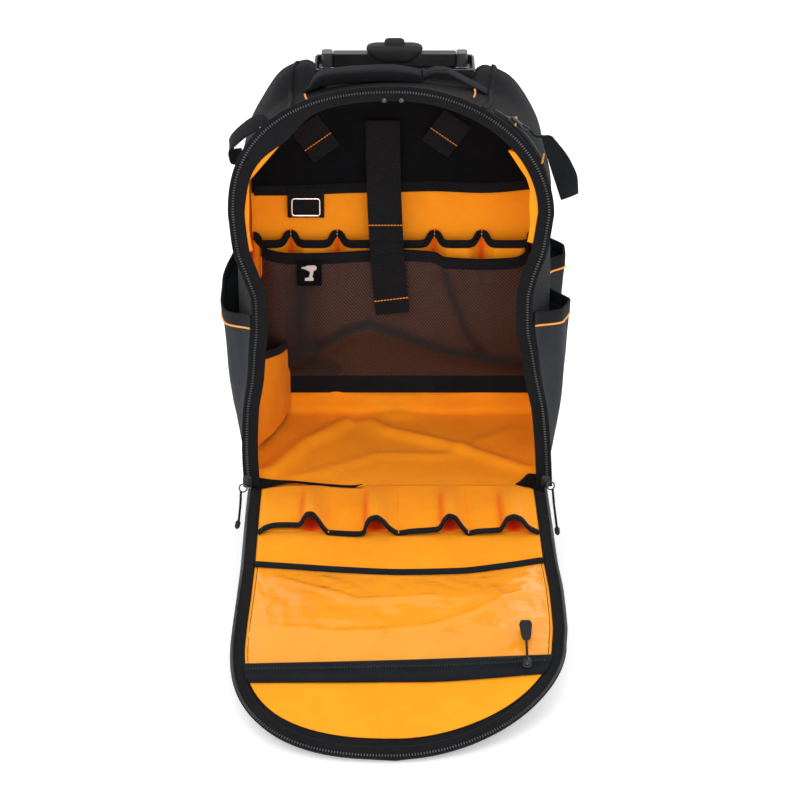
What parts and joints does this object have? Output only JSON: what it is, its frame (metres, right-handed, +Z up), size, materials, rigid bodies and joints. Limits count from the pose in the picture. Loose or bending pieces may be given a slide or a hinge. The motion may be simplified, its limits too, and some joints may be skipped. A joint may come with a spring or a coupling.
{
  "type": "wheeled tool backpack",
  "caption": "Upright wheeled tool backpack, front panel unzipped and folded down, orange inside with tool pockets, retracted pull handle.",
  "frame": {"origin": "centre of the underside of the front foot bar, on the surface the backpack stands on", "axes": "+Z up; -Y towards the folded-down front panel and the viewer; +X to the right of someone looking into the opening"},
  "size_m": [0.3889, 0.6929, 0.5367],
  "materials": {
    "black_cloth": "dense black woven nylon, matt with a soft sheen",
    "grey_cloth": "charcoal woven nylon of the outside pockets",
    "orange_cloth": "bright orange coated lining cloth with soft creases",
    "black_webbing": "black ribbed webbing and binding tape",
    "dark_mesh": "dark knitted mesh over orange lining",
    "clear_film": "clear flexible vinyl film with soft wrinkles",
    "black_zip": "moulded black zip coil on woven tape",
    "black_plastic": "fine grained black moulded plastic",
    "grey_plastic": "dark grey moulded plastic of the handle posts",
    "bright_metal": "bright plated steel wire",
    "tube_metal": "satin anodised aluminium tube",
    "axle_steel": "plain turned steel",
    "black_rubber": "matt black rubber",
    "wheel_rubber": "matt grey black tyre with light scuffs"
  },
  "bodies": {
    "root": {"body_shell": "black_cloth", "orange_lining": "orange_cloth", "opening_zip": "black_zip", "flap_panel": "black_cloth", "flap_lining": "orange_cloth", "flap_zip": "black_zip", "front_pocket": "black_cloth", "flap_tool_pockets": "orange_cloth", "window_pocket": "clear_film", "flap_zip_band": "black_zip", "flap_zip_slider": "black_plastic", "flap_zip_puller": "black_rubber", "upper_wall_panel": "black_cloth", "wall_band": "black_webbing", "organizer_panel": "orange_cloth", "wall_pockets_left": "orange_cloth", "wall_pockets_right": "orange_cloth", "mesh_pocket": "dark_mesh", "mesh_binding": "black_webbing", "lower_band": "black_webbing", "centre_strap": "black_webbing", "webbing_tab_left": "black_webbing", "webbing_tab_right": "black_webbing", "tape_clip_tab": "black_webbing", "tape_clip_frame": "bright_metal", "badge": "black_webbing", "inner_side_pocket": "orange_cloth", "side_pocket_left": "grey_cloth", "side_pocket_right": "grey_cloth", "rear_pocket_right": "grey_cloth", "carry_handle": "black_cloth", "handle_cup": "black_plastic", "outer_tube_left": "tube_metal", "outer_tube_right": "tube_metal", "tube_bracket": "black_plastic", "wheel_housing_left": "black_plastic", "axle_left": "axle_steel", "wheel_housing_right": "black_plastic", "axle_right": "axle_steel", "base_tray": "black_plastic", "front_foot": "black_rubber", "back_pad": "black_cloth", "shoulder_strap_left": "black_cloth", "strap_webbing_left": "black_webbing", "shoulder_strap_right": "black_cloth", "strap_webbing_right": "black_webbing", "side_loop_left": "black_webbing", "webbing_pull": "black_webbing", "rear_zip_slider": "black_plastic"},
    "handle_middle": {"middle_tube_left": "tube_metal", "middle_tube_right": "tube_metal"},
    "pull_handle": {"handle_post_left": "grey_plastic", "handle_post_right": "grey_plastic", "handle_bar": "black_plastic", "handle_grip": "black_rubber"},
    "handle_button": {"handle_button": "black_plastic"},
    "wheel_left": {"wheel_hub_left": "grey_plastic", "wheel_tyre_left": "wheel_rubber"},
    "wheel_right": {"wheel_hub_right": "grey_plastic", "wheel_tyre_right": "wheel_rubber"}
  },
  "joints": [
    {"name": "handle_lower_slide", "type": "slide", "parent": "root", "child": "handle_middle", "axis": [0, 0, 1], "range_m": [0, 0.23]},
    {"name": "handle_upper_slide", "type": "slide", "parent": "handle_middle", "child": "pull_handle", "axis": [0, 0, 1], "range_m": [0, 0.23]},
    {"name": "handle_button_press", "type": "slide", "parent": "pull_handle", "child": "handle_button", "axis": [0, 0, -1], "range_m": [0, 0.0035], "stiffness_N_per_m": 900, "springref_m": -0.001},
    {"name": "wheel_left_spin", "type": "hinge", "parent": "root", "child": "wheel_left", "pos_m": [-0.146, 0.178, 0.038], "axis": [1, 0, 0], "continuous": true},
    {"name": "wheel_right_spin", "type": "hinge", "parent": "root", "child": "wheel_right", "pos_m": [0.146, 0.178, 0.038], "axis": [1, 0, 0], "continuous": true}
  ]
}
